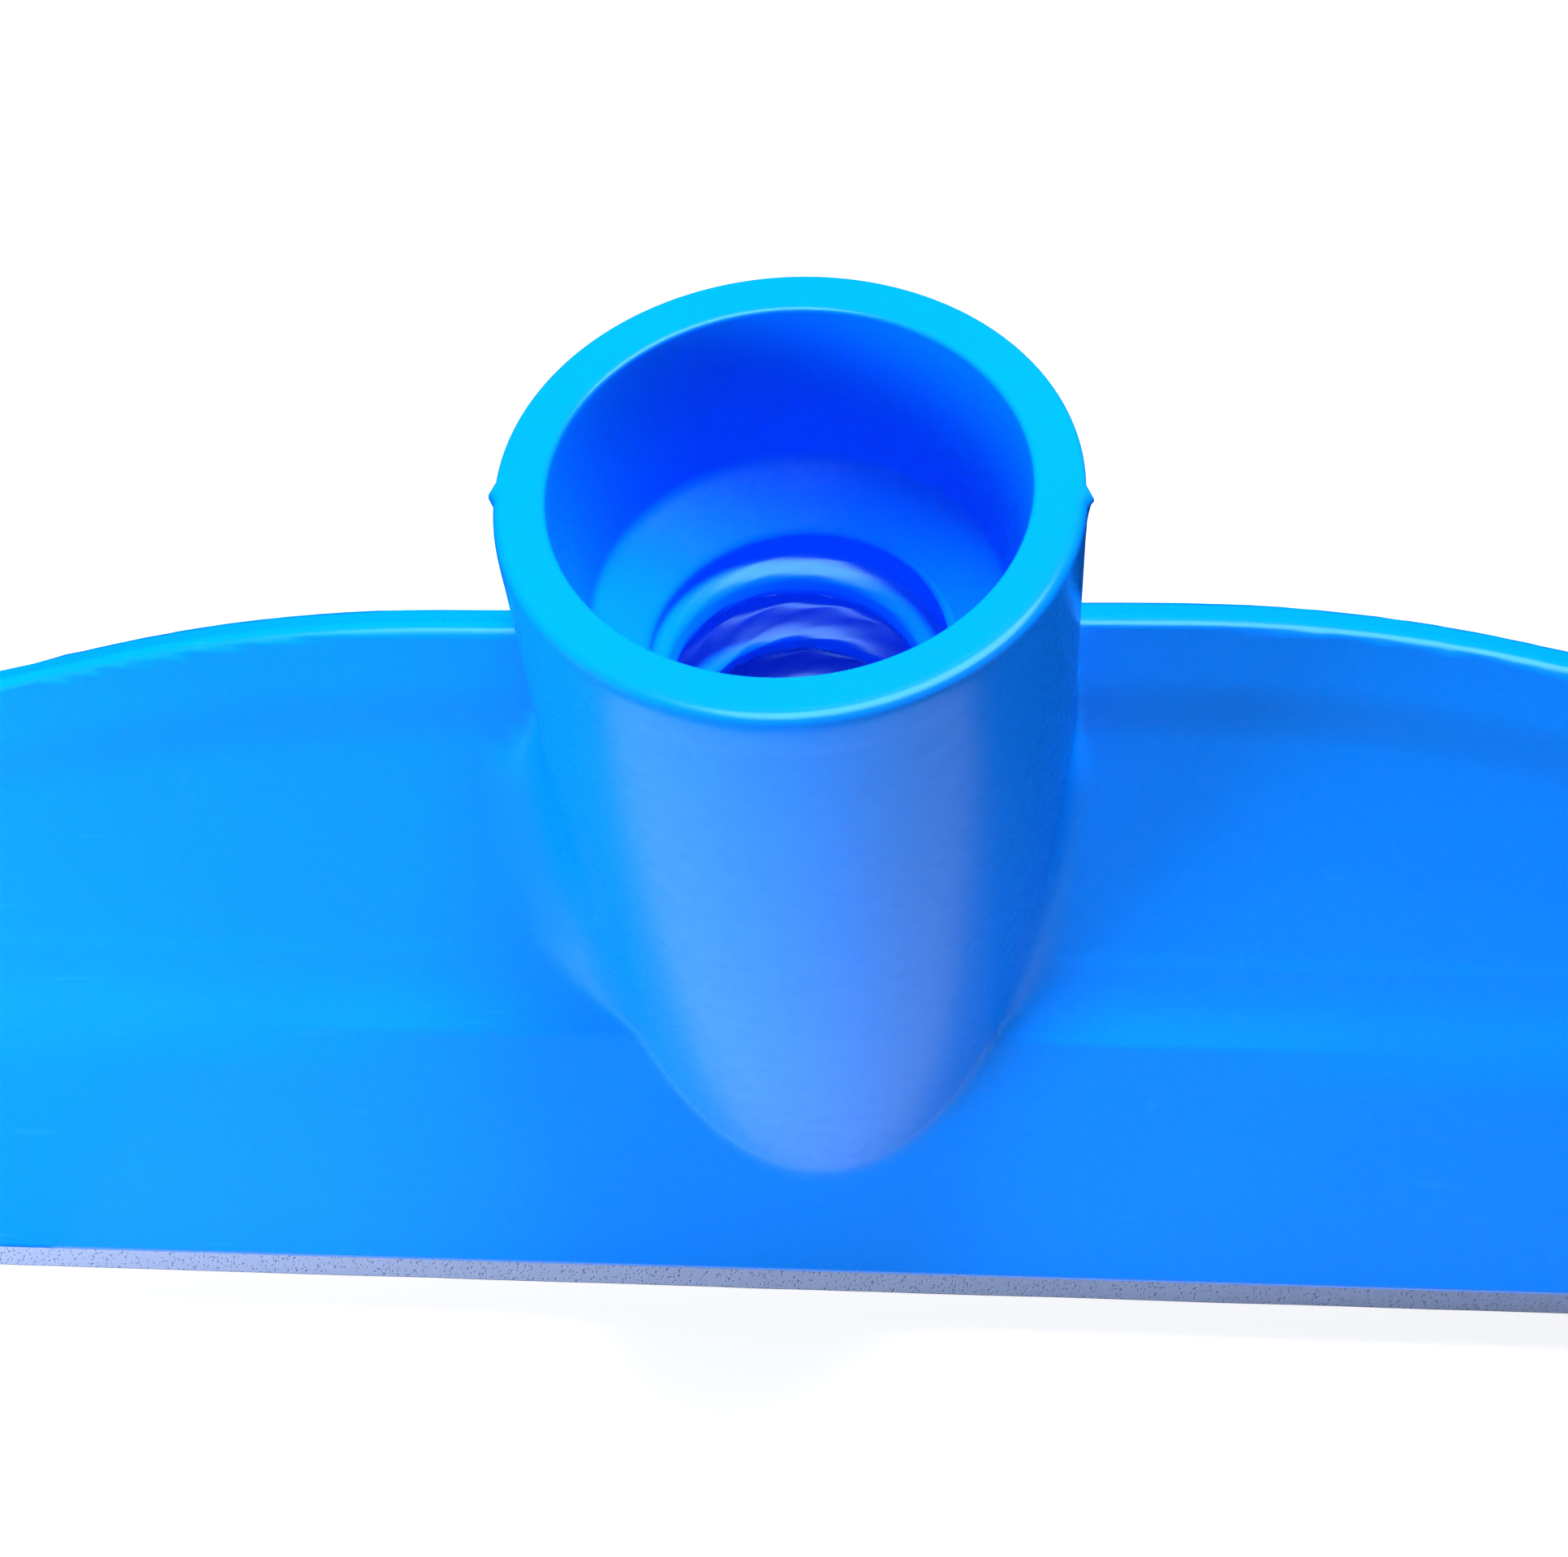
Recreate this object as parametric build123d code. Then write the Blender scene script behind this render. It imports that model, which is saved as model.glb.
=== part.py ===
from build123d import *
import os
from math import cos, radians, sin, tan

# Hygienic floor-squeegee head: a moulded plate with a slanted, threaded handle socket, and a
# cassette with two rubber strips that slides into the channel along its foot.
# X runs along the floor, Y away from the socket's mouth, Z up. The origin is on the floor,
# under the middle of the whole head.

# Sizes over all
width = 400.0
channel_depth = 30.0
channel_height = 21.0
blade_reach = 6.0  # how far the blades stand out below the channel

# Rim of the plate, measured up from the channel's foot
rim_height = 52.4
end_height = 27.0
rim_flat_half = 23.3
rim_slope_deg = 13.2
shoulder_radius = 95.0
valley_radius = 250.0
rim_bead_height = 6.6
rim_edge_radius = 1.1

# Walls
channel_wall = 3.0
roof_wall = 3.0
web_wall = 2.6
web_recess = 0.8  # the web's face lies this far behind the channel's front wall
blend_height = 6.0
end_wall = 2.5
foot_edge_radius = 0.8
lip_reach = 1.6
lip_height = 2.2

# Handle socket, with depths measured along its axis from the mouth
socket_tilt_deg = 25.3
socket_radius = 17.0
mouth_radius = 14.0
mouth_lip_radius = 0.9
mouth_ahead = 7.6  # centre of the mouth, ahead of the front wall
mouth_height = 65.7
counterbore_depth = 11.6
counterbore_radius = 12.8
cone_depth = 15.5
cone_radius = 9.75
socket_run = 56.0

# Coarse handle thread, right-handed, with trapezoid grooves
thread_pitch = 5.08
thread_root_radius = 9.6
thread_crest_radius = 7.4
lead_in_radius = 9.3
lead_in_depth = 21.6
hole_depth = 45.0
groove_root_width = 1.2
groove_flank_deg = 14.5
groove_turns = 6
groove_overcut = 1.0
thread_backing = 2.4

# Cassette: a rail that holds both blades, with a plug in each end
slide_clearance = 0.3
blade_inset = 5.2  # blade's outer face behind the channel's outer face
blade_thickness = 5.0
hook_reach = 3.0
hook_height = 4.0
hook_bottom = 9.0
plug_flange = 2.5
key_width = 5.6
key_height = 3.4
key_bottom = 4.4
key_length = 14.0
key_clearance = 0.1
edge_chamfer = 0.4

# Places that follow from the sizes
half_width = width / 2
tilt = radians(socket_tilt_deg)
lip_centre = (socket_radius - mouth_lip_radius) * cos(tilt) - mouth_lip_radius * sin(tilt)
mouth_front = mouth_ahead + lip_centre + mouth_lip_radius
front_y = -(channel_depth - mouth_front) / 2
back_y = front_y + channel_depth
foot_z = blade_reach
roof_z = foot_z + channel_height
far = 2 * (width + rim_height + socket_run)

rail_front = front_y + channel_wall + slide_clearance
rail_back = back_y - channel_wall - slide_clearance
rail_bottom = foot_z + lip_height + slide_clearance
rail_top = roof_z - roof_wall - slide_clearance
cassette_left = -half_width + end_wall + slide_clearance
cassette_right = half_width
rail_left = cassette_left + plug_flange
rail_right = cassette_right - plug_flange
middle_y = (front_y + back_y) / 2


def block(x0, x1, y0, y1, z0, z1):
    """A box between two corners."""
    corner = Pos((x0 + x1) / 2, (y0 + y1) / 2, (z0 + z1) / 2)
    return corner * Box(x1 - x0, y1 - y0, z1 - z0)


def bar(outline, x0, x1):
    """A straight bar along X, with its section given as (y, z) points."""
    section = Plane.YZ * make_face(Polyline(*outline, close=True))
    return Pos(x0, 0, 0) * extrude(section, x1 - x0)


def plate_outline():
    """The plate seen from the front: flat crown, round shoulders, straight slopes and low ends."""
    slope = radians(rim_slope_deg)
    crown_z = foot_z + rim_height
    end_z = foot_z + end_height
    shoulder_x = rim_flat_half + shoulder_radius * sin(slope)
    shoulder_z = crown_z - shoulder_radius * (1 - cos(slope))
    valley_z = end_z + valley_radius * (1 - cos(slope))
    slope_x = shoulder_x + (shoulder_z - valley_z) / tan(slope)
    valley_x = slope_x + valley_radius * sin(slope)
    end_x = max(valley_x, half_width) + rim_height
    right = Curve() + [
        Line((0, crown_z), (rim_flat_half, crown_z)),
        RadiusArc((rim_flat_half, crown_z), (shoulder_x, shoulder_z), shoulder_radius),
        Line((shoulder_x, shoulder_z), (slope_x, valley_z)),
        RadiusArc((slope_x, valley_z), (valley_x, end_z), -valley_radius),
        Polyline((valley_x, end_z), (end_x, end_z), (end_x, foot_z), (0, foot_z)),
    ]
    whole = make_face(right.edges() + mirror(right, about=Plane.YZ).edges())
    trim = Pos(0, foot_z + rim_height / 2) * Rectangle(width, rim_height)
    return whole & trim


def slab(outline, y0, y1):
    """An outline seen from the front, given a thickness from y0 back to y1."""
    return Pos(0, y1, 0) * extrude(Plane.XZ * outline, y1 - y0)


def plate():
    """Flat web with a thicker, round-edged bead along its rim."""
    outline = plate_outline()
    web_front = front_y + web_recess
    blank = slab(outline, front_y, web_front + web_wall)
    rim = [e for e in blank.edges() if abs(e.tangent_at(0.5).Y) < 0.5 and e.center().Z > roof_z]
    blank = fillet(rim, rim_edge_radius)
    return blank - slab(Pos(0, -rim_bead_height) * outline, front_y - 1, web_front)


def channel():
    """Inverted trough along the foot, closed at its left end, with a soft step up to the web."""
    front = front_y + web_recess
    shell = bar(
        [
            (front_y, foot_z),
            (front_y, roof_z),
            (front, roof_z + blend_height),
            (front + web_wall, roof_z + blend_height),
            (front + web_wall, roof_z),
            (back_y, roof_z),
            (back_y, foot_z),
        ],
        -half_width,
        half_width,
    )
    feet = [e for e in shell.edges() if abs(e.center().Z - foot_z) < 0.01 and e.length > channel_depth + 1]
    return fillet(feet, foot_edge_radius)


def trough():
    """The space inside the channel, with the narrower slot between its lips."""
    x0, x1 = -half_width + end_wall, half_width + 1
    inner = block(x0, x1, front_y + channel_wall, back_y - channel_wall, foot_z + lip_height, roof_z - roof_wall)
    wall = channel_wall + lip_reach
    slot = block(x0, x1, front_y + wall, back_y - wall, foot_z - 1, foot_z + lip_height)
    return inner + slot


def on_socket(shape):
    """Move a shape drawn about Z, mouth at 0 and depths downward, onto the slanted axis."""
    place = Location((0, front_y - mouth_ahead, foot_z + mouth_height), (socket_tilt_deg, 0, 0))
    return place * shape


def turned(outline):
    """A round solid from (radius, height) points."""
    return revolve(Plane.XZ * make_face(outline), Axis.Z)


def socket_tube():
    """Outside of the handle socket, ending flush with the channel's back."""
    lip = mouth_lip_radius
    line = Polyline((0, 0), (socket_radius - lip, 0))
    line += RadiusArc((socket_radius - lip, 0), (socket_radius, -lip), lip)
    line += Polyline((socket_radius, -lip), (socket_radius, -socket_run), (0, -socket_run), (0, 0))
    tube = on_socket(turned(line.edges()))
    return tube & block(-far, far, -far, back_y, foot_z, far)


def socket_mouth():
    """Tapered counterbore, centring cone and the lead-in that trims the thread's first turn."""
    lip = mouth_lip_radius
    line = Polyline((0, 1), (mouth_radius + lip, 1), (mouth_radius + lip, 0))
    line += RadiusArc((mouth_radius + lip, 0), (mouth_radius, -lip), -lip)
    line += Polyline(
        (mouth_radius, -lip),
        (counterbore_radius, -counterbore_depth),
        (cone_radius, -cone_depth),
        (lead_in_radius, -cone_depth),
        (thread_crest_radius, -lead_in_depth),
        (0, -lead_in_depth),
        (0, 1),
    )
    return on_socket(turned(line.edges()))


def round_bar(radius, top, bottom):
    """A plain cylinder on the socket's axis, between two depths."""
    return on_socket(Pos(0, 0, -(top + bottom) / 2) * Cylinder(radius, bottom - top))


def thread_groove():
    """Helical trapezoid groove, which leaves the thread's ridge standing between its turns."""
    run = groove_turns * thread_pitch
    top = cone_depth - thread_pitch
    spine = Helix(thread_pitch, run, thread_crest_radius)
    flare = tan(radians(groove_flank_deg))
    root_half = groove_root_width / 2
    mouth_half = root_half + flare * (thread_root_radius - thread_crest_radius + groove_overcut)
    r0, r1 = thread_crest_radius - groove_overcut, thread_root_radius
    section = Plane.XZ * make_face(
        Polyline((r0, -mouth_half), (r1, -root_half), (r1, root_half), (r0, mouth_half), close=True)
    )
    groove = sweep(section, path=spine, is_frenet=True)
    return on_socket(Pos(0, 0, -top - run) * groove)


def socket():
    """The whole handle socket: tube, threaded core and open mouth."""
    core_radius = thread_root_radius + thread_backing
    core_top = cone_depth - 1.5 * thread_pitch
    core = round_bar(core_radius, core_top, hole_depth) - round_bar(thread_crest_radius, 0, hole_depth + 1)
    core -= thread_groove()
    shell = socket_tube() - round_bar(core_radius, -1, hole_depth)
    return shell + core - socket_mouth()


def head_body():
    """Plate and channel with the handle socket let into them."""
    return (channel() + plate() - socket_tube() + socket()) - trough()


def blade_section(side):
    """Hooked strip for the front (-1) or rear (+1) slot, as (y, z) points."""
    outer = middle_y + side * (channel_depth / 2 - blade_inset)
    inner = outer - side * blade_thickness
    hook = inner - side * hook_reach
    low, top = foot_z + hook_bottom, foot_z + hook_bottom + hook_height
    return [(outer, 0), (outer, top), (hook, top), (hook, low), (inner, low), (inner, 0)]


def blade(side):
    return bar(blade_section(side), rail_left, rail_right)


def key_space(gap):
    """Hollow along the rail's spine, or the plug's key when made smaller by a gap."""
    half = key_width / 2 - gap
    z0, z1 = foot_z + key_bottom + gap, foot_z + key_bottom + key_height - gap
    return middle_y - half, middle_y + half, z0, z1


def cassette_rail():
    """Extruded holder with a hooked slot for each blade and a hollow spine."""
    rail = block(rail_left, rail_right, rail_front, rail_back, rail_bottom, rail_top)
    rail = chamfer(rail.edges().filter_by(Axis.X), edge_chamfer)
    rail -= block(rail_left - 1, rail_right + 1, *key_space(0))
    return rail - blade(-1) - blade(1)


def end_plug(side):
    """Cap over the rail's end that keeps the blades from creeping out, with a push-in key."""
    outer = cassette_left if side < 0 else cassette_right
    face = rail_left if side < 0 else rail_right
    cap = block(min(outer, face), max(outer, face), rail_front, rail_back, rail_bottom, rail_top)
    cap = chamfer(cap.edges().filter_by(Axis.X), edge_chamfer)
    tip = face - side * key_length
    return cap + block(min(face, tip), max(face, tip), *key_space(key_clearance))


os.makedirs("parts", exist_ok=True)
pieces = {
    "head_body": head_body(),
    "cassette_rail": cassette_rail(),
    "front_blade": blade(-1),
    "rear_blade": blade(1),
    "end_plug_left": end_plug(-1),
    "end_plug_right": end_plug(1),
}
for name, piece in pieces.items():
    export_step(piece, "parts/" + name + ".step")
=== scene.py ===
import math

import bpy
import numpy as np
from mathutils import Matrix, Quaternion, Vector


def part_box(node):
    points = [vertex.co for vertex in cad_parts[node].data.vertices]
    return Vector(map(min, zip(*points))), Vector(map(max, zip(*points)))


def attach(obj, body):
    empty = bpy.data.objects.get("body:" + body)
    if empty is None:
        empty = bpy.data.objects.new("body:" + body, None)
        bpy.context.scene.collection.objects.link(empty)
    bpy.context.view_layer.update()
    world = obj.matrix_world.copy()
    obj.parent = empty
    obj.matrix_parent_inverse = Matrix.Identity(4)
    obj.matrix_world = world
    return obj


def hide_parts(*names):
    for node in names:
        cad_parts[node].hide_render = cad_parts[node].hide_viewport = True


# Floor-squeegee head: a blue moulding with a slanted, threaded handle socket, and a cassette with
# two foam-rubber strips that slides into the channel along its foot.
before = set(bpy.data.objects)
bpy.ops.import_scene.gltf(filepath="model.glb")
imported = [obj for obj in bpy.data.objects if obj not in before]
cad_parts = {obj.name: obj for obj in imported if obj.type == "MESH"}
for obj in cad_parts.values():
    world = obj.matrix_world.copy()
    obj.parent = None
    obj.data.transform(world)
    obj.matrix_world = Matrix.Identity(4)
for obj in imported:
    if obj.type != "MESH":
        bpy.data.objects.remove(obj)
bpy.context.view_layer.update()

# HEAD BODY
# One injection moulding in blue polypropylene: a thin web with a beaded rim, the channel along its
# foot, and the round handle socket that leans out of the web. The mould parts along the socket's
# sides. Every corner is rounded, so the skin is drawn from one rounded solid, in millimetres, and the
# mouth, cone and thread are turned as rings of points that line it.
millimetre = 0.001
body_low, body_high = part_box("head_body")
half_width = body_high.x / millimetre
back_y = body_high.y / millimetre
foot_z = body_low.z / millimetre

channel_depth = 30.0
channel_height = 21.0
channel_wall = 3.0
roof_wall = 3.0
end_wall = 2.5
web_fillet = 2.4
channel_start = 2.4  # the channel starts inside the plate
lip_reach = 1.6
lip_height = 2.2
front_y = back_y - channel_depth

rim_height = 52.4
end_height = 27.0
rim_flat_half = 23.3
rim_slope = math.radians(13.2)
shoulder_radius = 95.0
valley_radius = 250.0
rim_bead_height = 6.6
rim_round = 0.7
plate_thickness = 3.4
band_thickness = 3.0
web_recess = 0.8
bead_proud = 0.3
rim_warp = 0.9
blend_height = 6.0

socket_tilt = math.radians(25.3)
socket_radius = 17.0
socket_run = 56.0
mouth_radius = 14.0
mouth_inner_round = 0.4
mouth_back_round = 0.3
mouth_front_round = 0.9
mouth_ahead = 7.6
mouth_height = 65.7
counterbore_depth = 11.6
counterbore_radius = 12.8
cone_depth = 15.5
cone_radius = 9.75
front_half_proud = 0.12
flash_proud = 0.35
flash_length = 2.4
collar_depth = 2.0  # the rounded solid starts this far below the mouth, inside the lining
skirt_depth = 7.0  # and the lining's outside is hidden in it from here down
facets_around = 180

thread_pitch = 5.08
thread_root_radius = 9.6
thread_crest_radius = 7.25
lead_in_radius = 9.3
lead_in_depth = 21.6
hole_depth = 45.0
thread_start = 17.8  # depth of the thread's crest on the socket's left
ridge_crest_half = 0.6
ridge_root_half = 1.6


def smooth_step(low, high, value):
    t = np.clip((value - low) / (high - low), 0.0, 1.0)
    return t * t * (3.0 - 2.0 * t)


def rounded_join(a, b, radius):
    """Two solids as one, with a fillet of that radius in the corner between them."""
    corner = np.hypot(np.maximum(radius - a, 0.0), np.maximum(radius - b, 0.0))
    return np.maximum(radius, np.minimum(a, b)) - corner


def rounded_cut(a, b, radius):
    """What two solids have in common, with its outer corner rounded."""
    corner = np.hypot(np.maximum(a + radius, 0.0), np.maximum(b + radius, 0.0))
    return np.minimum(-radius, np.maximum(a, b)) + corner


def rim_at(x):
    """Height of the rim above the foot: flat crown, shoulder, straight slope, hollow and low end."""
    drop = np.abs(x) - rim_flat_half
    shoulder_run = shoulder_radius * math.sin(rim_slope)
    shoulder_drop = shoulder_radius * (1.0 - math.cos(rim_slope))
    valley_rise = valley_radius * (1.0 - math.cos(rim_slope))
    straight_drop = rim_height - end_height - shoulder_drop - valley_rise
    straight_run = straight_drop / math.tan(rim_slope)
    valley_end = shoulder_run + straight_run + valley_radius * math.sin(rim_slope)
    shoulder = shoulder_radius - np.sqrt(shoulder_radius**2 - np.clip(drop, 0.0, shoulder_run) ** 2)
    straight = np.clip(drop - shoulder_run, 0.0, straight_run) * math.tan(rim_slope)
    left = valley_end - np.clip(drop, shoulder_run + straight_run, valley_end)
    valley = valley_rise - valley_radius + np.sqrt(valley_radius**2 - left**2)
    return rim_height - shoulder - straight - valley + rim_warp * smooth_step(-22.0, 22.0, x)


def foot_band_face(x, z):
    """How far back the foot band's face lies: flush up to the roof, then creased or soft up to the web."""
    up = (z - channel_height) / blend_height
    creased = np.clip(up, 0.0, 1.0) * (2.0 - np.clip(up, 0.0, 1.0))
    soft = smooth_step(-0.6, 1.0, up)
    near_socket = 1.0 - smooth_step(24.0, 44.0, np.abs(x))
    return web_recess * (soft + (creased - soft) * near_socket) + np.maximum(up - 1.0, 0.0)


def socket_frame(x, y, z):
    """Depth below the mouth, distance ahead of or behind the axis, and distance from the axis."""
    behind = y + mouth_ahead
    above = z - mouth_height
    depth = behind * math.sin(socket_tilt) - above * math.cos(socket_tilt)
    across = behind * math.cos(socket_tilt) + above * math.sin(socket_tilt)
    return depth, across, np.hypot(x, across)


def bore_radius(depth):
    """The bore's profile down to the thread, with its corners eased over half a millimetre."""
    depths = [-9.0, 0.0, counterbore_depth, cone_depth, cone_depth + 0.1, 99.0]
    mouth_end = mouth_radius + 9.0 * (mouth_radius - counterbore_radius) / counterbore_depth
    radii = [mouth_end, mouth_radius, counterbore_radius, cone_radius]
    radii += [thread_root_radius, thread_root_radius]
    return sum(np.interp(depth + shift, depths, radii) for shift in (-0.3, -0.1, 0.1, 0.3)) / 4.0


def lining_radius(depth):
    """Where the socket's lining, which holds the bore and the thread, meets the wall around it."""
    depths = [cone_depth - 3.0, cone_depth + 1.5]
    return np.interp(depth, depths, [socket_radius - 1.4, thread_root_radius + 2.4])


def thread_ridge(turn, depth):
    """How far the right-handed thread stands into the bore, growing from nothing along its lead-in."""
    from_crest = depth - thread_start - thread_pitch * turn
    from_crest = from_crest - thread_pitch * np.round(from_crest / thread_pitch)
    flank = 1.0 - smooth_step(ridge_crest_half, ridge_root_half, np.abs(from_crest))
    lead_in = np.interp(
        depth,
        [cone_depth - 1.0, cone_depth, lead_in_depth],
        [0.0, thread_root_radius - lead_in_radius, thread_root_radius - thread_crest_radius],
    )
    return lead_in * flank


def head_solid(x, y, z):
    """Signed distance, about true near the skin, at points measured off the front wall and foot."""
    below_rim = (rim_at(x) - z) * math.cos(rim_slope / 2.0)
    bead = 1.0 - smooth_step(rim_bead_height - 2.5, rim_bead_height + 2.0, below_rim)
    web_face = web_recess - bead_proud * bead
    plate = rounded_cut(-below_rim, web_face - y, rim_round)
    plate = rounded_cut(plate, y - plate_thickness, rim_round)
    channel = rounded_cut(z - channel_height, channel_start - y, 0.3)
    body = rounded_join(plate, channel, 0.1 + web_fillet * smooth_step(14.0, 19.0, z))

    depth, across, radius = socket_frame(x, y, z)
    front_half = 1.0 - smooth_step(-0.2, 0.2, across)
    tube = np.maximum(radius - socket_radius - front_half_proud * front_half, collar_depth - depth)
    tube = np.maximum(tube, depth - socket_run)
    widening = smooth_step(18.0, 30.0, z) * (1.0 - smooth_step(41.0, 47.5, z))
    blend = 0.5 + (4.0 - 2.6 * smooth_step(-2.0, 2.0, x)) * widening
    blend = np.where(y > 2.0, 0.4 + 1.8 * (1.0 - smooth_step(21.0, 34.0, z)), blend)
    body = rounded_join(body, tube, blend)
    band_top = channel_height + 1.5 * blend_height
    band = np.maximum(foot_band_face(x, z) - y, np.maximum(y - band_thickness, z - band_top))
    body = rounded_join(body, band, 0.25)

    body = rounded_cut(body, y - channel_depth, 0.9)
    body = rounded_cut(body, -z, 0.8)
    body = rounded_cut(body, np.abs(x) - half_width, 0.6)

    within_walls = np.abs(y - channel_depth / 2.0) - channel_depth / 2.0 + channel_wall
    inner = np.maximum(within_walls, z - channel_height + roof_wall)
    slot = within_walls + lip_reach
    trough = np.minimum(np.maximum(inner, lip_height - z), np.maximum(slot, z - lip_height - 0.5))
    trough = np.maximum(trough, -half_width + end_wall - x)
    body = rounded_cut(body, -trough, 0.3)

    lining = np.maximum(radius - lining_radius(depth), depth - hole_depth - 1.0)
    return np.maximum(body, -lining)


def socket_lining():
    """The mouth, cone and thread, as rows of points from the wall outside to the hole's floor."""
    turn = np.arange(facets_around) / facets_around
    front_half = (turn > 0.5).astype(float)
    parting = (facets_around // 2 + 1, facets_around - 1)
    beside_parting = np.isin(np.arange(facets_around), parting).astype(float)
    outside = socket_radius + front_half_proud * front_half
    lip = mouth_back_round + (mouth_front_round - mouth_back_round) * front_half
    rows = [(hole_depth + 1.0, 6.0), (hole_depth + 1.0, lining_radius(hole_depth))]
    rows += [(depth, lining_radius(depth)) for depth in (cone_depth + 1.5, cone_depth - 3.0, skirt_depth)]
    rows += [(skirt_depth, outside - 0.12), (5.5, outside - 0.08), (4.0, outside - 0.03), (3.0, outside + 0.01)]
    for depth in (flash_length, 2.0, 1.6, 1.2):
        flash = beside_parting * flash_proud * (1.0 - depth / flash_length)
        rows.append((depth, outside + 0.02 + flash))
    for quarter in np.linspace(0.0, math.pi / 2.0, 8):
        flash = beside_parting * flash_proud * math.cos(quarter)
        depth = lip - (lip + 0.4 * flash) * math.sin(quarter)
        rows.append((depth, outside - lip + lip * math.cos(quarter) + flash))
    for share in (0.3, 0.7):
        rows.append((0.0, (outside - lip) * (1.0 - share) + (mouth_radius + mouth_inner_round) * share))
    for quarter in np.linspace(0.0, math.pi / 2.0, 6):
        across = mouth_radius + mouth_inner_round * (1.0 - math.sin(quarter))
        rows.append((mouth_inner_round * (1.0 - math.cos(quarter)), across))
    above_thread = [*np.linspace(1.0, 10.6, 5), *np.arange(11.0, 12.4, 0.2), 13.0, 13.8, 14.6]
    above_thread += [*np.arange(15.0, 15.7, 0.2)]
    rows += [(depth, bore_radius(depth)) for depth in above_thread]
    for depth in np.arange(cone_depth + 0.3, hole_depth, 0.35):
        rows.append((depth, bore_radius(depth) - thread_ridge(turn, depth)))
    rows += [(hole_depth, thread_root_radius - 0.3), (hole_depth, 5.0)]

    depth = np.array([np.broadcast_to(row[0], turn.shape) for row in rows])
    radius = np.array([np.broadcast_to(row[1], turn.shape) for row in rows])
    angle = 2.0 * math.pi * turn
    x = -radius * np.cos(angle)
    across = radius * np.sin(angle)
    y = depth * math.sin(socket_tilt) + across * math.cos(socket_tilt) - mouth_ahead
    z = across * math.sin(socket_tilt) - depth * math.cos(socket_tilt) + mouth_height
    points = np.stack([x, y, z], axis=2)
    around = np.roll(points, -1, axis=1) - np.roll(points, 1, axis=1)
    normals = np.cross(np.gradient(points, axis=0), around)
    normals /= np.maximum(np.linalg.norm(normals, axis=2), 1e-9)[:, :, None]

    index = np.arange(points.shape[0] * points.shape[1]).reshape(points.shape[:2])
    after = np.roll(index, -1, axis=1)
    faces = np.stack([index[:-1], index[1:], after[1:], after[:-1]], axis=2).reshape(-1, 4).tolist()
    faces += [index[0].tolist(), index[-1, ::-1].tolist()]
    return points.reshape(-1, 3), normals.reshape(-1, 3), faces


def steps(*stops):
    """Grid lines from stop to stop, given as place, step, place, step, ..., place."""
    lines = [np.array([stops[0]])]
    for start, step, end in zip(stops[0:-2:2], stops[1:-1:2], stops[2::2]):
        count = max(1, round((end - start) / step))
        lines.append(np.linspace(start, end, count + 1)[1:])
    return np.concatenate(lines)


def slope_of(solid, points):
    """Gradient of a solid's distance at points."""
    nudge = 0.02
    sides = []
    for axis in range(3):
        ahead, behind = points.copy(), points.copy()
        ahead[:, axis] += nudge
        behind[:, axis] -= nudge
        sides.append((solid(*ahead.T) - solid(*behind.T)) / (2.0 * nudge))
    return np.stack(sides, axis=1)


def skin_of(solid, xs, ys, zs):
    """The solid's surface: a point in each grid cell it crosses, joined in squares and drawn on to it."""
    value = solid(*np.meshgrid(xs, ys, zs, indexing="ij"))
    inside = value < 0.0
    shape = tuple(n - 1 for n in inside.shape)
    corners = [(a, b, c) for a in (0, 1) for b in (0, 1) for c in (0, 1)]
    filled = np.zeros(shape, np.int8)
    for a, b, c in corners:
        filled += inside[a : a + shape[0], b : b + shape[1], c : c + shape[2]]
    cells = np.argwhere((filled > 0) & (filled < 8))
    index = np.full(shape, -1, np.int32)
    index[tuple(cells.T)] = np.arange(len(cells))

    lines = (xs, ys, zs)
    total = np.zeros((len(cells), 3))
    count = np.zeros(len(cells))
    for a in corners:
        for axis in range(3):
            if a[axis] == 1:
                continue
            b = tuple(v + (n == axis) for n, v in enumerate(a))
            va = value[tuple((cells + a).T)]
            vb = value[tuple((cells + b).T)]
            crossed = (va < 0.0) != (vb < 0.0)
            share = np.where(crossed, va / np.where(crossed, va - vb, 1.0), 0.0)
            start = np.stack([lines[n][cells[:, n] + a[n]] for n in range(3)], axis=1)
            end = np.stack([lines[n][cells[:, n] + b[n]] for n in range(3)], axis=1)
            total += np.where(crossed[:, None], start + (end - start) * share[:, None], 0.0)
            count += crossed
    points = total / count[:, None]
    for _ in range(4):
        slope = slope_of(solid, points)
        length = np.maximum((slope**2).sum(axis=1), 0.05)
        step = -solid(*points.T) / length
        points += slope * np.clip(step, -0.3, 0.3)[:, None]
    normals = slope_of(solid, points)
    normals /= np.maximum(np.linalg.norm(normals, axis=1), 1e-9)[:, None]

    faces = []
    for axis in range(3):
        u, v = (axis + 1) % 3, (axis + 2) % 3
        here = np.argwhere(np.diff(inside.astype(np.int8), axis=axis) != 0)
        here = here[(here[:, u] > 0) & (here[:, v] > 0) & (here[:, u] < shape[u]) & (here[:, v] < shape[v])]
        ring = []
        for du, dv in ((1, 1), (0, 1), (0, 0), (1, 0)):
            cell = here.copy()
            cell[:, u] -= du
            cell[:, v] -= dv
            ring.append(index[tuple(cell.T)])
        quads = np.stack(ring, axis=1)
        outward = inside[tuple(here.T)]
        quads[~outward] = quads[~outward][:, ::-1]
        faces.append(quads)
    return points, normals, np.concatenate(faces)


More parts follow.
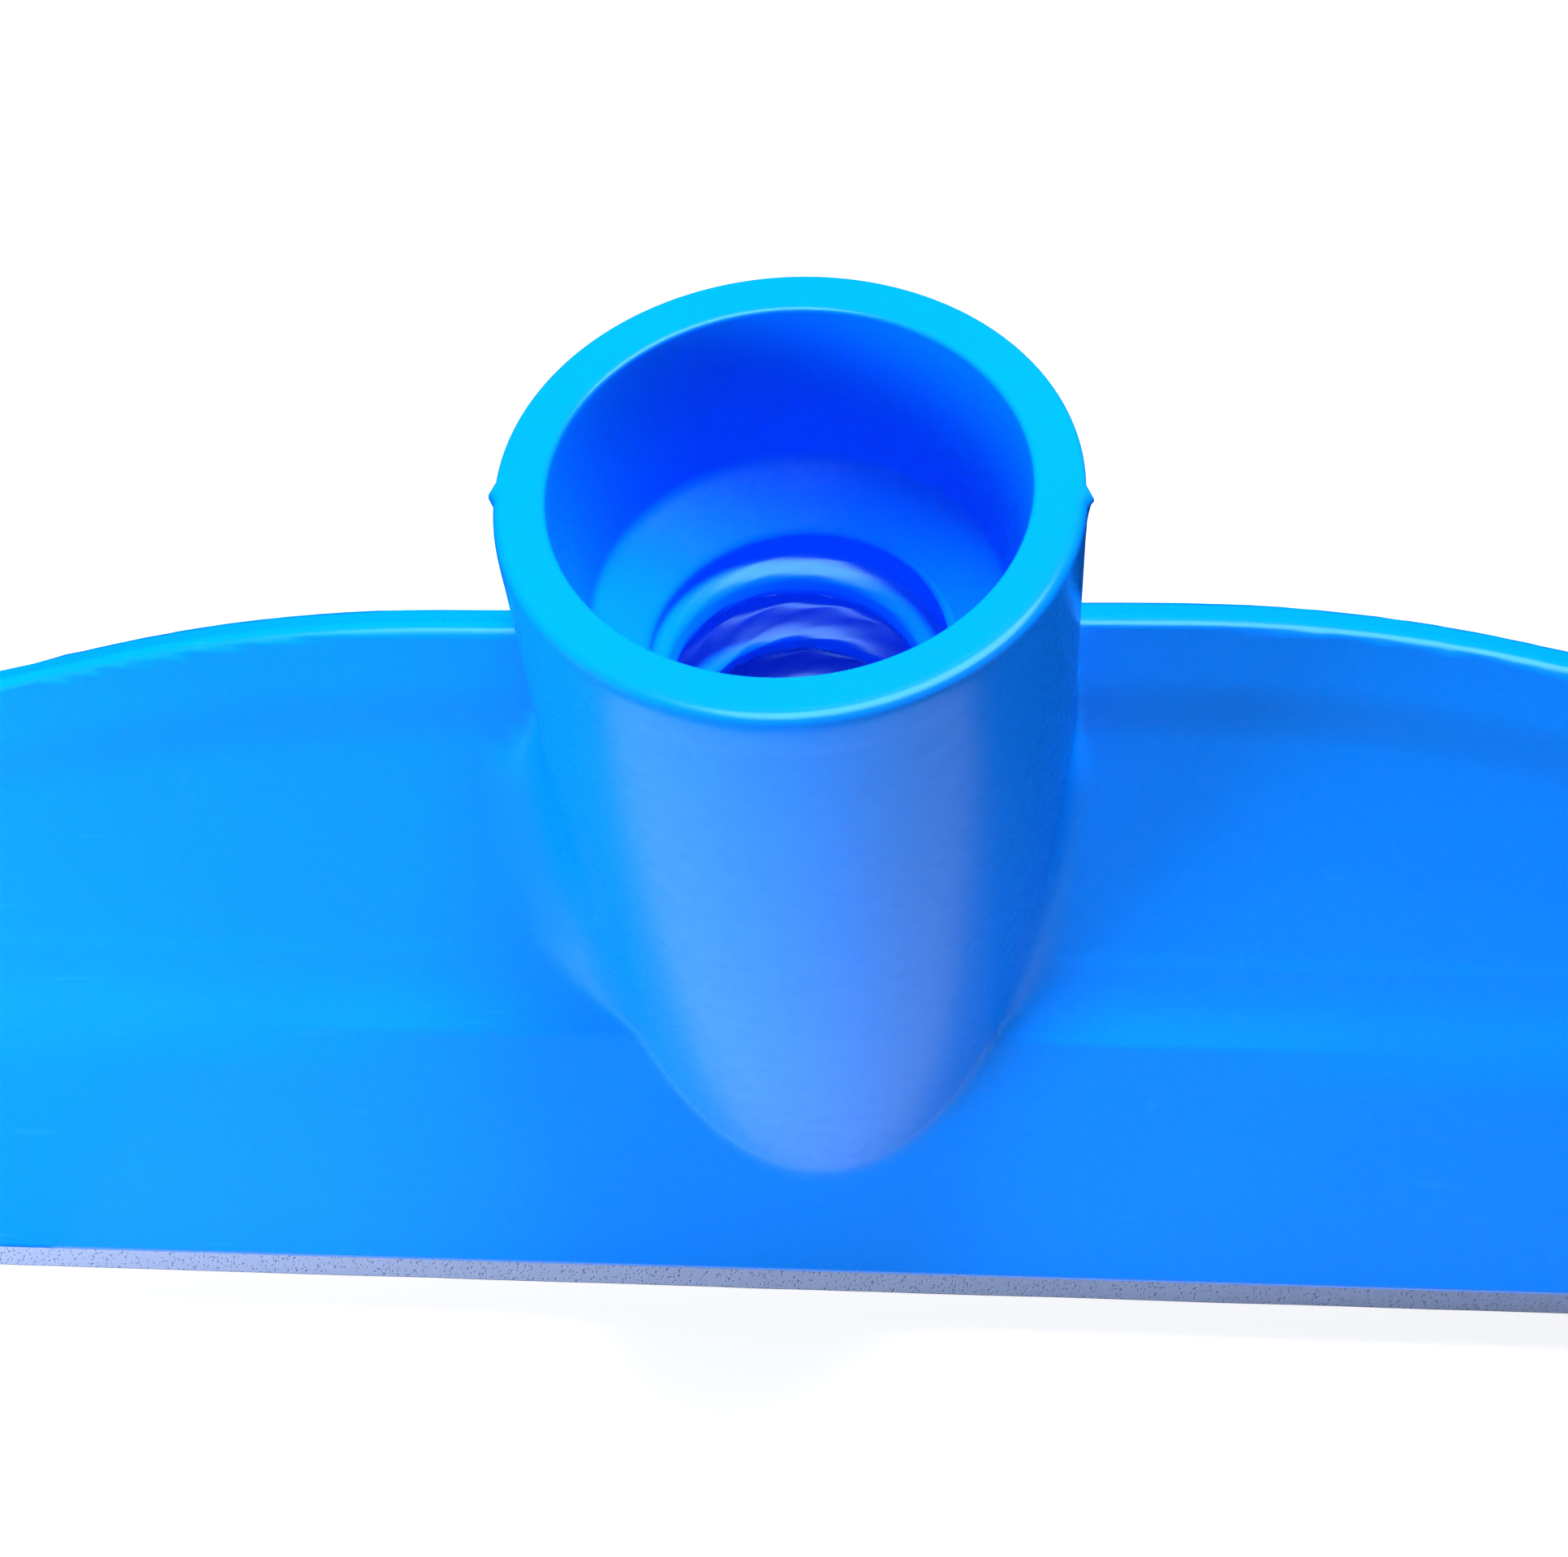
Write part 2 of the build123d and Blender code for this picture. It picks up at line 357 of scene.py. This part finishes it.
left_x = steps(-200.4, 0.4, -196.8, 4.0, -184.8, 8.0, -48.8, 2.0, -18.8)
right_x = steps(18.8, 2.0, 48.8, 8.0, 199.2, 0.4, 200.4)
body_x = np.concatenate([left_x, steps(-18.8, 0.6, 18.8)[1:], right_x[1:]])
body_y = steps(-24.0, 0.6, 4.5, 0.9, 23.0, 0.6, 30.6)
body_z = steps(-0.4, 0.5, 3.0, 0.9, 17.0, 0.6, 73.2)
body_points, body_normals, body_faces = skin_of(head_solid, body_x, body_y, body_z)

lining_points, lining_normals, lining_faces = socket_lining()
head_faces = body_faces.tolist()
head_faces += [[corner + len(body_points) for corner in face] for face in lining_faces]
head_points = np.concatenate([body_points, lining_points]) + (0.0, front_y, foot_z)
head_mesh = bpy.data.meshes.new("head_moulding")
head_mesh.from_pydata((head_points * millimetre).tolist(), [], head_faces)
head_mesh.shade_smooth()
head_normals = np.concatenate([body_normals, lining_normals])
head_mesh.normals_split_custom_set_from_vertices(head_normals.tolist())
head = bpy.data.objects.new("head_moulding", head_mesh)
bpy.context.scene.collection.objects.link(head)


def socket_in(group, name, kind, default=None):
    """A named input on a node group."""
    made = group.interface.new_socket(name, in_out="INPUT", socket_type=kind)
    if default is not None:
        made.default_value = default


def skin_outputs(group):
    """The named outputs that a skin group ends in."""
    for name, kind in (("Colour", "Color"), ("Roughness", "Float"), ("Height", "Float")):
        group.interface.new_socket(name, in_out="OUTPUT", socket_type="NodeSocket" + kind)


def noise_node(tree, vector, scale, detail, roughness=0.5):
    made = tree.nodes.new("ShaderNodeTexNoise")
    made.inputs["Scale"].default_value = scale
    made.inputs["Detail"].default_value = detail
    made.inputs["Roughness"].default_value = roughness
    tree.links.new(vector, made.inputs["Vector"])
    return made.outputs["Fac"]


def spread_node(tree, value, low, high, out_low=0.0, out_high=1.0):
    made = tree.nodes.new("ShaderNodeMapRange")
    made.interpolation_type = "SMOOTHSTEP"
    made.inputs["From Min"].default_value = low
    made.inputs["From Max"].default_value = high
    made.inputs["To Min"].default_value = out_low
    made.inputs["To Max"].default_value = out_high
    tree.links.new(value, made.inputs["Value"])
    return made.outputs["Result"]


def math_node(tree, operation, a, b):
    made = tree.nodes.new("ShaderNodeMath")
    made.operation = operation
    for socket, value in zip(made.inputs, (a, b)):
        if isinstance(value, (int, float)):
            socket.default_value = value
        else:
            tree.links.new(value, socket)
    return made.outputs["Value"]


def mix_colours(tree, share, a, b):
    made = tree.nodes.new("ShaderNodeMix")
    made.data_type = "RGBA"
    tree.links.new(share, made.inputs["Factor"])
    tree.links.new(a, made.inputs["A"])
    tree.links.new(b, made.inputs["B"])
    return made.outputs["Result"]


def moulded_skin_group():
    """Moulded plastic's skin: cloudy flow marks, a fine mottle, a few rub marks and hairline scratches."""
    group = bpy.data.node_groups.new("moulded_skin", "ShaderNodeTree")
    socket_in(group, "Vector", "NodeSocketVector")
    socket_in(group, "Colour", "NodeSocketColor")
    socket_in(group, "Deep Colour", "NodeSocketColor")
    socket_in(group, "Rub Colour", "NodeSocketColor")
    socket_in(group, "Flow Amount", "NodeSocketFloat", 0.5)
    socket_in(group, "Rub Amount", "NodeSocketFloat", 0.5)
    socket_in(group, "Roughness", "NodeSocketFloat", 0.3)
    skin_outputs(group)
    given = group.nodes.new("NodeGroupInput")
    result = group.nodes.new("NodeGroupOutput")
    vector = given.outputs["Vector"]

    flow = spread_node(group, noise_node(group, vector, 45.0, 3.0), 0.3, 0.7)
    mottle = spread_node(group, noise_node(group, vector, 900.0, 3.0, 0.6), 0.3, 0.7)
    grain = noise_node(group, vector, 3800.0, 2.0)
    fine = math_node(group, "MULTIPLY", mottle, 0.4)
    shade = math_node(group, "ADD", math_node(group, "MULTIPLY", flow, 0.6), fine)
    shade = math_node(group, "MULTIPLY", shade, given.outputs["Flow Amount"])
    colour = mix_colours(group, shade, given.outputs["Colour"], given.outputs["Deep Colour"])

    stretch = group.nodes.new("ShaderNodeMapping")
    stretch.inputs["Rotation"].default_value = (0.3, 0.8, 0.5)
    stretch.inputs["Scale"].default_value = (120.0, 2600.0, 1500.0)
    group.links.new(vector, stretch.inputs["Vector"])
    hair = spread_node(group, noise_node(group, stretch.outputs["Vector"], 1.0, 1.0), 0.74, 0.80)
    patch = spread_node(group, noise_node(group, vector, 160.0, 4.0, 0.7), 0.66, 0.78)
    rubbed = math_node(group, "MAXIMUM", hair, patch)
    rubbed = math_node(group, "MULTIPLY", rubbed, given.outputs["Rub Amount"])
    colour = mix_colours(group, rubbed, colour, given.outputs["Rub Colour"])

    rough = math_node(group, "MULTIPLY", mottle, 0.05)
    rough = math_node(group, "ADD", given.outputs["Roughness"], rough)
    rough = math_node(group, "ADD", rough, math_node(group, "MULTIPLY", rubbed, 0.25))
    coarse = math_node(group, "MULTIPLY", mottle, 0.6)
    height = math_node(group, "ADD", coarse, math_node(group, "MULTIPLY", grain, 0.4))
    group.links.new(colour, result.inputs["Colour"])
    group.links.new(rough, result.inputs["Roughness"])
    group.links.new(height, result.inputs["Height"])
    return group


moulded_skin = moulded_skin_group()


def moulded_plastic(name, colour, deep_colour, rub_colour, flow, rub, roughness, sheen_level, sheen, bump):
    """A material that places the moulded skin with its own colours and amounts."""
    material = bpy.data.materials.new(name)
    material.use_nodes = True
    tree = material.node_tree
    shader = tree.nodes["Principled BSDF"]
    place = tree.nodes.new("ShaderNodeTexCoord")
    skin = tree.nodes.new("ShaderNodeGroup")
    skin.node_tree = moulded_skin
    tree.links.new(place.outputs["Object"], skin.inputs["Vector"])
    skin.inputs["Colour"].default_value = (*colour, 1.0)
    skin.inputs["Deep Colour"].default_value = (*deep_colour, 1.0)
    skin.inputs["Rub Colour"].default_value = (*rub_colour, 1.0)
    skin.inputs["Flow Amount"].default_value = flow
    skin.inputs["Rub Amount"].default_value = rub
    skin.inputs["Roughness"].default_value = roughness
    raised = tree.nodes.new("ShaderNodeBump")
    raised.inputs["Strength"].default_value = bump
    raised.inputs["Distance"].default_value = 0.00004
    tree.links.new(skin.outputs["Height"], raised.inputs["Height"])
    tree.links.new(raised.outputs["Normal"], shader.inputs["Normal"])
    tree.links.new(skin.outputs["Colour"], shader.inputs["Base Color"])
    tree.links.new(skin.outputs["Roughness"], shader.inputs["Roughness"])
    shader.inputs["Specular IOR Level"].default_value = sheen_level
    shader.inputs["Specular Tint"].default_value = (*sheen, 1.0)
    return material


blue_polypropylene = moulded_plastic(
    "blue_polypropylene",
    colour=(0.0, 0.19, 0.84),
    deep_colour=(0.0, 0.165, 0.80),
    rub_colour=(0.01, 0.25, 0.88),
    flow=0.6,
    rub=0.25,
    roughness=0.24,
    sheen_level=0.15,
    sheen=(0.4, 0.85, 1.0),
    bump=0.05,
)
head_mesh.materials.append(blue_polypropylene)
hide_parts("head_body")
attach(head, "head")

# CASSETTE RAIL AND END PLUGS
# Natural white extruded rail, sawn to length, with a hooked slot for each strip, and a moulded plug
# pushed into each end so that the strips can't creep out.
white_polypropylene = moulded_plastic(
    "white_polypropylene",
    colour=(0.80, 0.82, 0.85),
    deep_colour=(0.70, 0.73, 0.77),
    rub_colour=(0.90, 0.91, 0.93),
    flow=0.5,
    rub=0.25,
    roughness=0.42,
    sheen_level=0.4,
    sheen=(1.0, 1.0, 1.0),
    bump=0.4,
)
for name in ("cassette_rail", "end_plug_left", "end_plug_right"):
    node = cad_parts[name]
    node.data.materials.clear()
    node.data.materials.append(white_polypropylene)

# FOAM-RUBBER STRIPS
# Two strips cut from closed-cell foam rubber, hooked into the rail. Their cut faces show fine open
# pores, and the skived edges are never quite straight. The rubber is white, but it is given a
# lavender grey that is painted shade from the body above it and painted blue light thrown off the body.


def foam_cut_group():
    """A cut foam face: small open pores of two sizes, painted darker as shade inside them, over a faintly
    cloudy rubber.
    """
    group = bpy.data.node_groups.new("foam_cut", "ShaderNodeTree")
    socket_in(group, "Vector", "NodeSocketVector")
    socket_in(group, "Colour", "NodeSocketColor")
    socket_in(group, "Pore Shade Colour", "NodeSocketColor")
    socket_in(group, "Pore Size", "NodeSocketFloat", 1.0)
    skin_outputs(group)
    given = group.nodes.new("NodeGroupInput")
    result = group.nodes.new("NodeGroupOutput")
    sized = group.nodes.new("ShaderNodeVectorMath")
    sized.operation = "SCALE"
    group.links.new(given.outputs["Vector"], sized.inputs[0])
    group.links.new(given.outputs["Pore Size"], sized.inputs["Scale"])
    vector = sized.outputs["Vector"]
    pores = []
    for scale, edge in ((3200.0, 0.32), (1500.0, 0.24)):
        cells = group.nodes.new("ShaderNodeTexVoronoi")
        cells.inputs["Scale"].default_value = scale
        group.links.new(vector, cells.inputs["Vector"])
        pores.append(spread_node(group, cells.outputs["Distance"], edge * 0.5, edge, 1.0, 0.0))
    pores_and_pore_shade = math_node(group, "MAXIMUM", pores[0], pores[1])
    cloud = noise_node(group, vector, 90.0, 3.0)
    clouded = math_node(group, "MULTIPLY", cloud, 0.25)
    # Painted shade: the pores darken the rubber's colour, on top of its random cloudy tone.
    share = math_node(group, "ADD", math_node(group, "MULTIPLY", pores_and_pore_shade, 0.55), clouded)
    colour = mix_colours(group, share, given.outputs["Colour"], given.outputs["Pore Shade Colour"])
    rough = math_node(group, "ADD", 0.72, math_node(group, "MULTIPLY", cloud, 0.15))
    height = math_node(group, "SUBTRACT", math_node(group, "MULTIPLY", cloud, 0.4), pores_and_pore_shade)
    group.links.new(colour, result.inputs["Colour"])
    group.links.new(rough, result.inputs["Roughness"])
    group.links.new(height, result.inputs["Height"])
    return group


def foam_rubber():
    material = bpy.data.materials.new("foam_rubber")
    material.use_nodes = True
    tree = material.node_tree
    shader = tree.nodes["Principled BSDF"]
    place = tree.nodes.new("ShaderNodeTexCoord")
    cut = tree.nodes.new("ShaderNodeGroup")
    cut.node_tree = foam_cut_group()
    tree.links.new(place.outputs["Object"], cut.inputs["Vector"])
    # The rubber is white; this lavender grey is painted shade under the body's overhang plus painted blue
    # bounce light.
    cut.inputs["Colour"].default_value = (0.38, 0.49, 0.80, 1.0)
    # The pores' darker colour is painted shade inside them.
    cut.inputs["Pore Shade Colour"].default_value = (0.24, 0.32, 0.56, 1.0)
    raised = tree.nodes.new("ShaderNodeBump")
    raised.inputs["Strength"].default_value = 0.6
    raised.inputs["Distance"].default_value = 0.0001
    tree.links.new(cut.outputs["Height"], raised.inputs["Height"])
    tree.links.new(raised.outputs["Normal"], shader.inputs["Normal"])
    tree.links.new(cut.outputs["Colour"], shader.inputs["Base Color"])
    tree.links.new(cut.outputs["Roughness"], shader.inputs["Roughness"])
    shader.inputs["Specular IOR Level"].default_value = 0.25
    return material


def strip_sweep_group():
    """Sweeps a section along X, eases its corners and lets the strip waver below the rail's grip."""
    group = bpy.data.node_groups.new("strip_sweep", "GeometryNodeTree")
    group.interface.new_socket("Geometry", in_out="OUTPUT", socket_type="NodeSocketGeometry")
    socket_in(group, "Section", "NodeSocketGeometry")
    socket_in(group, "Start", "NodeSocketFloat", 0.0)
    socket_in(group, "End", "NodeSocketFloat", 0.1)
    socket_in(group, "Step", "NodeSocketFloat", 0.002)
    socket_in(group, "Corner Radius", "NodeSocketFloat", 0.0002)
    socket_in(group, "Waver", "NodeSocketFloat", 0.0001)
    socket_in(group, "Grip Height", "NodeSocketFloat", 0.008)
    socket_in(group, "Seed", "NodeSocketFloat", 1.0)
    socket_in(group, "Material", "NodeSocketMaterial")
    given = group.nodes.new("NodeGroupInput")
    result = group.nodes.new("NodeGroupOutput")

    section = group.nodes.new("GeometryNodeMeshToCurve")
    group.links.new(given.outputs["Section"], section.inputs["Mesh"])
    eased = group.nodes.new("GeometryNodeFilletCurve")
    eased.mode = "POLY"
    eased.inputs["Count"].default_value = 2
    group.links.new(section.outputs["Curve"], eased.inputs["Curve"])
    group.links.new(given.outputs["Corner Radius"], eased.inputs["Radius"])

    path = group.nodes.new("GeometryNodeCurvePrimitiveLine")
    for side in ("Start", "End"):
        place = group.nodes.new("ShaderNodeCombineXYZ")
        group.links.new(given.outputs[side], place.inputs["X"])
        group.links.new(place.outputs["Vector"], path.inputs[side])
    stepped = group.nodes.new("GeometryNodeResampleCurve")
    stepped.mode = "LENGTH"
    group.links.new(path.outputs["Curve"], stepped.inputs["Curve"])
    group.links.new(given.outputs["Step"], stepped.inputs["Length"])
    swept = group.nodes.new("GeometryNodeCurveToMesh")
    swept.inputs["Fill Caps"].default_value = True
    group.links.new(stepped.outputs["Curve"], swept.inputs["Curve"])
    group.links.new(eased.outputs["Curve"], swept.inputs["Profile Curve"])

    here = group.nodes.new("GeometryNodeInputPosition")
    parts = group.nodes.new("ShaderNodeSeparateXYZ")
    group.links.new(here.outputs["Position"], parts.inputs["Vector"])
    noise = group.nodes.new("ShaderNodeTexNoise")
    noise.noise_dimensions = "4D"
    noise.inputs["Scale"].default_value = 90.0
    noise.inputs["Detail"].default_value = 2.0
    group.links.new(here.outputs["Position"], noise.inputs["Vector"])
    group.links.new(given.outputs["Seed"], noise.inputs["W"])
    free = math_node(group, "SUBTRACT", given.outputs["Grip Height"], parts.outputs["Z"])
    free = spread_node(group, free, 0.0, 0.003)
    sway = math_node(group, "MULTIPLY", math_node(group, "SUBTRACT", noise.outputs["Fac"], 0.5), 2.0)
    sway = math_node(group, "MULTIPLY", math_node(group, "MULTIPLY", sway, free), given.outputs["Waver"])
    offset = group.nodes.new("ShaderNodeCombineXYZ")
    group.links.new(sway, offset.inputs["Y"])
    wavering = group.nodes.new("GeometryNodeSetPosition")
    group.links.new(swept.outputs["Mesh"], wavering.inputs["Geometry"])
    group.links.new(offset.outputs["Vector"], wavering.inputs["Offset"])

    placed = group.nodes.new("GeometryNodeRealizeInstances")
    painted = group.nodes.new("GeometryNodeSetMaterial")
    group.links.new(wavering.outputs["Geometry"], placed.inputs["Geometry"])
    group.links.new(placed.outputs["Geometry"], painted.inputs["Geometry"])
    group.links.new(given.outputs["Material"], painted.inputs["Material"])
    group.links.new(painted.outputs["Geometry"], result.inputs["Geometry"])
    return group


strip_sweep = strip_sweep_group()
foam = foam_rubber()


def foam_strip(name, node, hook_back, seed):
    """One strip: a blade with a hook along its top, swept over the node's length."""
    low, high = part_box(node)
    thickness = 5.0 * millimetre
    hook_under = 15.0 * millimetre
    face, hook = (low.y, high.y) if hook_back else (high.y, low.y)
    inner = face + thickness if hook_back else face - thickness
    corners = [(face, low.z), (inner, low.z), (inner, hook_under)]
    corners += [(hook, hook_under), (hook, high.z), (face, high.z)]
    section = bpy.data.meshes.new(name + "_section")
    section.from_pydata([(-y, -z, 0.0) for y, z in corners], [(n, (n + 1) % 6) for n in range(6)], [])
    drawn = bpy.data.objects.new(name + "_section", section)
    bpy.context.scene.collection.objects.link(drawn)
    sweep = drawn.modifiers.new("sweep", "NODES")
    sweep.node_group = strip_sweep
    values = {"Start": low.x, "End": high.x, "Step": 0.002, "Corner Radius": 0.00025, "Waver": 0.00012}
    values |= {"Grip Height": 0.0075, "Seed": seed, "Material": foam}
    for item in strip_sweep.interface.items_tree:
        if item.item_type == "SOCKET" and item.name in values:
            sweep[item.identifier] = values[item.name]
    swept = drawn.evaluated_get(bpy.context.evaluated_depsgraph_get())
    mesh = bpy.data.meshes.new_from_object(swept)
    mesh.name = name
    if not hook_back:
        mesh.flip_normals()
    mesh.shade_smooth()
    mesh.set_sharp_from_angle(angle=math.radians(50.0))
    strip = bpy.data.objects.new(name, mesh)
    bpy.context.scene.collection.objects.link(strip)
    bpy.data.objects.remove(drawn)
    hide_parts(node)
    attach(strip, "cassette")


foam_strip("front_foam_strip", "front_blade", hook_back=True, seed=2.0)
foam_strip("rear_foam_strip", "rear_blade", hook_back=False, seed=5.0)

# STUDIO
# A plain, nearly white floor, a pale room and soft lights: one overhead, a low key from the left,
# dim fills off the floor, and two cards that only the object's gloss sees.
scene = bpy.context.scene
scene.view_settings.view_transform = "Standard"

bpy.ops.mesh.primitive_plane_add(size=6.0, location=(0.0, 0.0, 0.0))
floor = bpy.context.object
floor.name = "floor"
floor_paint = bpy.data.materials.new("floor_paint")
floor_paint.use_nodes = True
floor_tree = floor_paint.node_tree
floor_shader = floor_tree.nodes["Principled BSDF"]
floor_shader.inputs["Base Color"].default_value = (0.22, 0.22, 0.225, 1.0)
floor_shader.inputs["Roughness"].default_value = 0.9
floor_shader.inputs["Specular IOR Level"].default_value = 0.0
floor_shader.inputs["Emission Color"].default_value = (1.0, 1.0, 1.0, 1.0)
floor_light = floor_tree.nodes.new("ShaderNodeLightPath")
floor_glow = math_node(floor_tree, "MULTIPLY", floor_light.outputs["Is Camera Ray"], 0.85)
floor_tree.links.new(floor_glow, floor_shader.inputs["Emission Strength"])
floor.data.materials.append(floor_paint)
floor.visible_glossy = False

room = bpy.data.worlds.new("room")
room.use_nodes = True
room.node_tree.nodes["Background"].inputs["Color"].default_value = (0.92, 0.96, 1.0, 1.0)
room_light = room.node_tree.nodes.new("ShaderNodeLightPath")
room_glow = math_node(room.node_tree, "MULTIPLY", room_light.outputs["Is Camera Ray"], 0.9)
room_glow = math_node(room.node_tree, "ADD", room_glow, 0.1)
room.node_tree.links.new(room_glow, room.node_tree.nodes["Background"].inputs["Strength"])
scene.world = room
room.cycles_visibility.glossy = False


def soft_light(name, place, aim, width, height, radiance, for_gloss=False, spread=180.0):
    """A soft box of that brightness, seen either by gloss alone or by everything but gloss."""
    lamp = bpy.data.lights.new(name, "AREA")
    lamp.shape = "RECTANGLE"
    lamp.size = width
    lamp.size_y = height
    lamp.energy = radiance * math.pi * width * height
    lamp.spread = math.radians(spread)
    made = bpy.data.objects.new(name, lamp)
    made.location = place
    made.rotation_euler = (Vector(aim) - Vector(place)).to_track_quat("-Z", "Y").to_euler()
    scene.collection.objects.link(made)
    made.visible_camera = False
    made.visible_glossy = for_gloss
    made.visible_diffuse = not for_gloss


soft_light("overhead", (0.05, -0.07, 0.56), (0.0, 0.0, 0.05), 0.16, 0.16, 98.0)
soft_light("key", (-0.16, -0.10, 0.05), (-0.04, 0.0, 0.03), 0.08, 0.06, 26.0)
soft_light("floor_fill", (0.0, -0.16, 0.002), (0.0, -0.16, 0.1), 0.8, 0.30, 0.6)
soft_light("strip_fill", (0.0, -0.06, 0.001), (0.0, 0.0, 0.004), 0.5, 0.05, 0.3)
gloss_place = (0.0, -0.022, 0.001)
gloss_aim = (0.0, -0.022, 0.1)
soft_light("floor_glow", gloss_place, gloss_aim, 0.12, 0.04, 1.0, for_gloss=True, spread=120.0)
soft_light("edge_strip", (0.25, -0.45, 0.50), (0.0, 0.0, 0.05), 1.2, 0.5, 24.0, for_gloss=True)

# CAMERA
# Close in front of the socket, a little to its right, looking down at about thirty degrees.
camera_data = bpy.data.cameras.new("camera")
camera_data.sensor_width = 36.0
camera_data.lens = 55.77
camera_data.clip_start = 0.01
camera = bpy.data.objects.new("camera", camera_data)
camera.location = (0.011533, -0.140366, 0.125064)
sight = Vector((-0.001856, 0.0, 0.045788)) - camera.location
roll = Quaternion((0.0, 0.0, 1.0), math.radians(-1.87))
camera.rotation_euler = (sight.to_track_quat("-Z", "Y") @ roll).to_euler()
scene.collection.objects.link(camera)
scene.camera = camera
